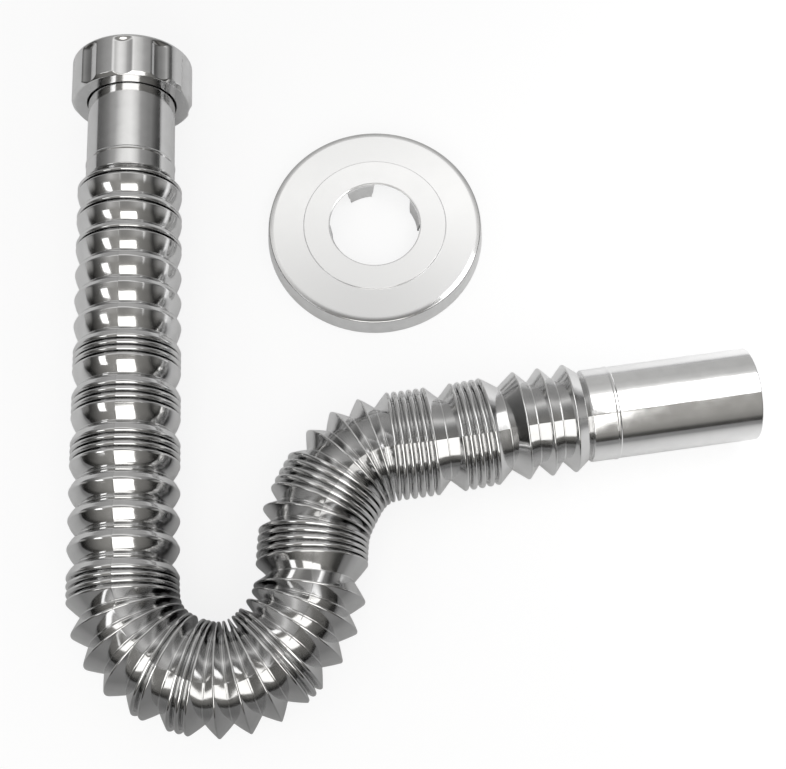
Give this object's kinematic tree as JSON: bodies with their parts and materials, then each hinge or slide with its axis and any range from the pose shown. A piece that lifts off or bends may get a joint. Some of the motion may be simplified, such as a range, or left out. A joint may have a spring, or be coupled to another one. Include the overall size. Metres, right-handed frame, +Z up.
{
  "type": "p trap",
  "caption": "Flexible chromed bellows trap lying flat: slip nut inlet, ribbed leg, U bend, elbow and smooth outlet pipe, with its loose round wall plate.",
  "frame": {"origin": "centre of the whole lying set's footprint, on the surface it lies on", "axes": "+Z up, the inlet leg along Y with its nut at +Y, the outlet pipe leaving towards +X"},
  "size_m": [0.3011, 0.314, 0.0549],
  "materials": {
    "chrome_finish": "bright chrome plating",
    "seal_rubber": "matt moulded rubber"
  },
  "bodies": {
    "leg_foot": {"leg_stack_4": "chrome_finish"},
    "leg_low": {"leg_stack_3": "chrome_finish", "leg_bellows_4": "chrome_finish"},
    "leg_middle": {"leg_stack_2": "chrome_finish", "leg_bellows_3": "chrome_finish"},
    "leg_high": {"leg_stack_1": "chrome_finish", "leg_bellows_2": "chrome_finish"},
    "inlet": {"inlet_tube": "chrome_finish", "leg_bellows_1": "chrome_finish"},
    "seal": {"seal_washer": "seal_rubber"},
    "nut": {"union_nut": "chrome_finish"},
    "bend_1": {"bend_fold_1": "chrome_finish", "bend_bellows_1": "chrome_finish"},
    "bend_2": {"bend_stack_1": "chrome_finish", "bend_bellows_2": "chrome_finish"},
    "bend_3": {"bend_stack_2": "chrome_finish", "bend_bellows_3": "chrome_finish"},
    "bend_4": {"bend_fold_2": "chrome_finish", "bend_bellows_4": "chrome_finish"},
    "bend_5": {"bend_stack_3": "chrome_finish", "bend_bellows_5": "chrome_finish"},
    "bend_6": {"bend_fold_3": "chrome_finish", "bend_bellows_6": "chrome_finish"},
    "riser": {"elbow_stack_1": "chrome_finish", "bend_bellows_7": "chrome_finish"},
    "elbow_1": {"elbow_stack_2": "chrome_finish", "elbow_bellows_1": "chrome_finish"},
    "elbow_2": {"elbow_fold": "chrome_finish", "elbow_bellows_2": "chrome_finish"},
    "elbow_3": {"outlet_stack_1": "chrome_finish", "elbow_bellows_3": "chrome_finish"},
    "outlet_ring": {"outlet_stack_2": "chrome_finish", "outlet_bellows_1": "chrome_finish"},
    "outlet": {"outlet_tube": "chrome_finish", "outlet_bellows_2": "chrome_finish"},
    "plate": {"wall_plate": "chrome_finish"}
  },
  "joints": [
    {"name": "leg_close", "type": "slide", "parent": "leg_high", "child": "inlet", "axis": [0, -1, 0], "range_m": [0, 0.0532], "deforming": ["leg_bellows_1"]},
    {"name": "leg_close_high", "type": "slide", "parent": "leg_middle", "child": "leg_high", "axis": [0, -1, 0], "range_m": [0, 0.0092], "deforming": ["leg_bellows_2"]},
    {"name": "leg_close_middle", "type": "slide", "parent": "leg_low", "child": "leg_middle", "axis": [0, -1, 0], "range_m": [0, 0.0092], "deforming": ["leg_bellows_3"]},
    {"name": "leg_close_low", "type": "slide", "parent": "leg_foot", "child": "leg_low", "axis": [0, -1, 0], "range_m": [0, 0.0368], "deforming": ["leg_bellows_4"]},
    {"name": "nut_slide", "type": "slide", "parent": "inlet", "child": "seal", "axis": [0, -1, 0], "range_m": [0, 0.03]},
    {"name": "nut_spin", "type": "hinge", "parent": "seal", "child": "nut", "pos_m": [-0.12277, 0.14701, 0.02746], "axis": [0, 1, 0], "continuous": true},
    {"name": "bend_open", "type": "hinge", "parent": "leg_foot", "child": "bend_1", "pos_m": [-0.14369, -0.11038, 0.02291], "axis": [0, 0, -1], "range_deg": [0, 15], "deforming": ["bend_bellows_1"]},
    {"name": "bend_open_2", "type": "hinge", "parent": "bend_1", "child": "bend_2", "pos_m": [-0.12608, -0.13945, 0.02291], "axis": [0, 0, -1], "range_deg": [0, 15], "deforming": ["bend_bellows_2"]},
    {"name": "bend_open_3", "type": "hinge", "parent": "bend_2", "child": "bend_3", "pos_m": [-0.10918, -0.15067, 0.02291], "axis": [0, 0, -1], "range_deg": [0, 10], "deforming": ["bend_bellows_3"]},
    {"name": "bend_open_4", "type": "hinge", "parent": "bend_3", "child": "bend_4", "pos_m": [-0.08622, -0.15626, 0.02291], "axis": [0, 0, -1], "range_deg": [0, 15], "deforming": ["bend_bellows_4"]},
    {"name": "bend_open_5", "type": "hinge", "parent": "bend_4", "child": "bend_5", "pos_m": [-0.05501, -0.14894, 0.02291], "axis": [0, 0, -1], "range_deg": [0, 15], "deforming": ["bend_bellows_5"]},
    {"name": "bend_open_6", "type": "hinge", "parent": "bend_5", "child": "bend_6", "pos_m": [-0.03481, -0.13038, 0.02291], "axis": [0, 0, -1], "range_deg": [0, 15], "deforming": ["bend_bellows_6"]},
    {"name": "bend_open_7", "type": "hinge", "parent": "bend_6", "child": "riser", "pos_m": [-0.022, -0.09904, 0.02291], "axis": [0, 0, -1], "range_deg": [0, 14], "deforming": ["bend_bellows_7"]},
    {"name": "elbow_open", "type": "hinge", "parent": "riser", "child": "elbow_1", "pos_m": [-0.06358, -0.06245, 0.02291], "axis": [0, 0, 1], "range_deg": [0, 8], "deforming": ["elbow_bellows_1"]},
    {"name": "elbow_open_2", "type": "hinge", "parent": "elbow_1", "child": "elbow_2", "pos_m": [-0.04677, -0.0321, 0.02291], "axis": [0, 0, 1], "range_deg": [0, 8], "deforming": ["elbow_bellows_2"]},
    {"name": "elbow_open_3", "type": "hinge", "parent": "elbow_2", "child": "elbow_3", "pos_m": [-0.01955, -0.01529, 0.02291], "axis": [0, 0, 1], "range_deg": [0, 8], "deforming": ["elbow_bellows_3"]},
    {"name": "outlet_push", "type": "slide", "parent": "elbow_3", "child": "outlet_ring", "axis": [-0.9928, -0.1201, 0], "range_m": [0, 0.0085], "deforming": ["outlet_bellows_1"]},
    {"name": "outlet_swing", "type": "hinge", "parent": "outlet_ring", "child": "outlet", "pos_m": [0.05481, -0.02871, 0.02291], "axis": [0, 0, 1], "range_deg": [-20, 20], "deforming": ["outlet_bellows_2"]},
    {"name": "plate_lift", "type": "slide", "parent": "leg_foot", "child": "plate", "axis": [0, 0, 1], "range_m": [0, 0.06]}
  ],
  "couplings": [
    {"joint": "leg_close_high", "follows": "leg_close", "ratio": 0.17293},
    {"joint": "leg_close_middle", "follows": "leg_close", "ratio": 0.17293},
    {"joint": "leg_close_low", "follows": "leg_close", "ratio": 0.69173},
    {"joint": "bend_open_2", "follows": "bend_open", "ratio": 1},
    {"joint": "bend_open_3", "follows": "bend_open", "ratio": 0.66667},
    {"joint": "bend_open_4", "follows": "bend_open", "ratio": 1},
    {"joint": "bend_open_5", "follows": "bend_open", "ratio": 1},
    {"joint": "bend_open_6", "follows": "bend_open", "ratio": 1},
    {"joint": "bend_open_7", "follows": "bend_open", "ratio": 0.93333},
    {"joint": "elbow_open_2", "follows": "elbow_open", "ratio": 1},
    {"joint": "elbow_open_3", "follows": "elbow_open", "ratio": 1}
  ]
}
